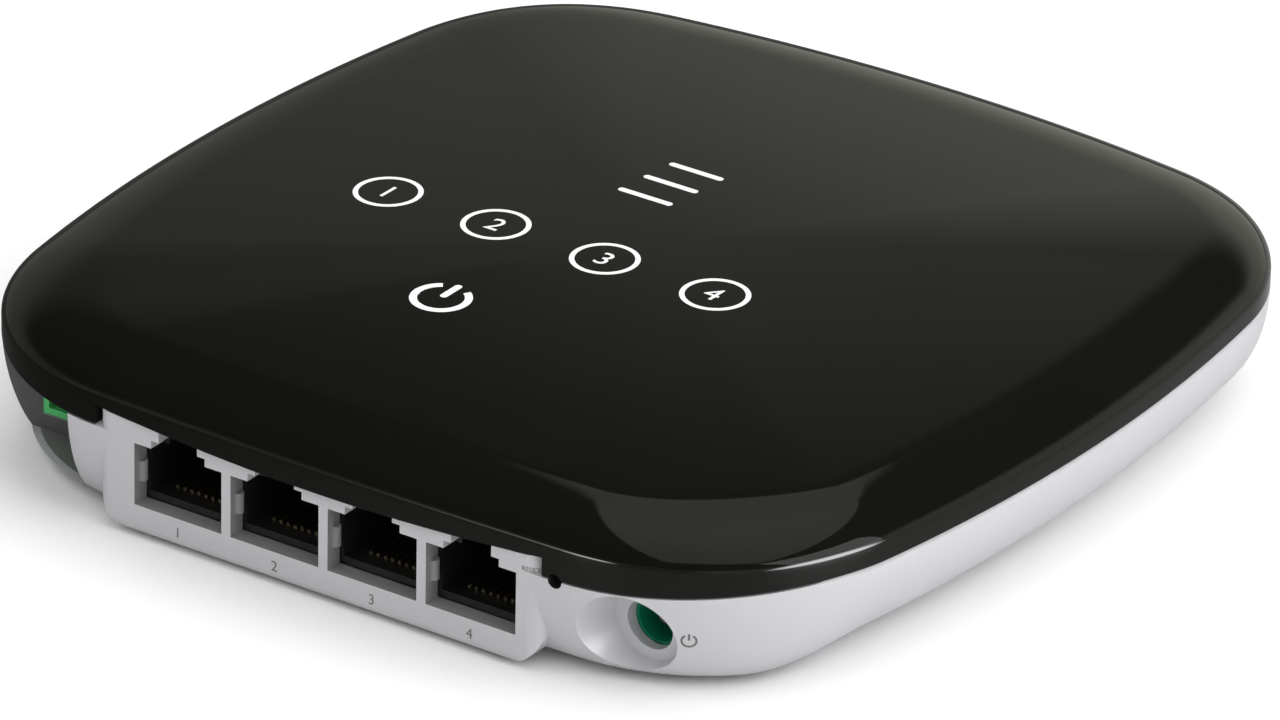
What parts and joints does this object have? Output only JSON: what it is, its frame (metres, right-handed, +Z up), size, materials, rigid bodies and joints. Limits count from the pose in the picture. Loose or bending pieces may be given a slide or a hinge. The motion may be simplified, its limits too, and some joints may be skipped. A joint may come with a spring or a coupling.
{
  "type": "fibre network gateway",
  "caption": "Low rounded-square network gateway: gloss cover on a tapered base, with a bank of network jacks, a fibre socket, a power inlet and a reset pinhole on one side.",
  "frame": {"origin": "under the middle of the body, on the surface that the feet stand on", "axes": "+X along the port side from the fibre socket to the power inlet, +Y from the ports to the back, +Z up"},
  "size_m": [0.13, 0.13, 0.0215],
  "materials": {
    "cover_gloss": "high gloss black",
    "base_satin": "fine satin light grey",
    "board_green": "solder mask",
    "jack_black": "moulded black",
    "contact_gold": "gold flash",
    "fibre_green": "moulded bright green",
    "ceramic_white": "ground ceramic",
    "module_steel": "machined",
    "can_tin": "tinned sheet",
    "inlet_green": "moulded deep green",
    "pin_nickel": "nickel plate",
    "switch_black": "moulded",
    "plunger_ivory": "moulded",
    "shade_black": "moulded",
    "guide_clear": "clear moulded plastic",
    "lamp_cream": "diffuse lens",
    "chip_black": "moulded epoxy",
    "pad_grey": "soft filled silicone",
    "plate_aluminium": "mill finish",
    "capacitor_blue": "printed sleeve",
    "ferrite_grey": "pressed ferrite",
    "antenna_tin": "stamped sheet",
    "screw_steel": "zinc plate",
    "foot_rubber": "soft matte"
  },
  "bodies": {
    "chassis": {"top_cover": "cover_gloss", "base_shell": "base_satin", "main_board": "board_green", "jack_block": "jack_black", "jack_contacts": "contact_gold", "fibre_adapter": "fibre_green", "alignment_sleeve": "ceramic_white", "optical_module": "module_steel", "optics_shield": "can_tin", "power_jack": "inlet_green", "power_pin": "pin_nickel", "reset_switch": "switch_black", "switch_stand": "switch_black", "light_shield": "shade_black", "light_guides": "guide_clear", "status_lamps": "lamp_cream", "processor": "chip_black", "thermal_pad": "pad_grey", "heat_plate": "plate_aluminium", "radio_shield": "can_tin", "line_transformers": "chip_black", "buffer_capacitors": "capacitor_blue", "power_inductor": "ferrite_grey", "antenna_left": "antenna_tin", "antenna_right": "antenna_tin", "board_screws": "screw_steel", "case_screws": "screw_steel", "rubber_feet": "foot_rubber"},
    "reset_button": {"reset_plunger": "plunger_ivory"}
  },
  "joints": [
    {"name": "reset_press", "type": "slide", "parent": "chassis", "child": "reset_button", "axis": [0, 1, 0], "range_m": [0, 0.0005], "stiffness_N_per_m": 3000}
  ]
}
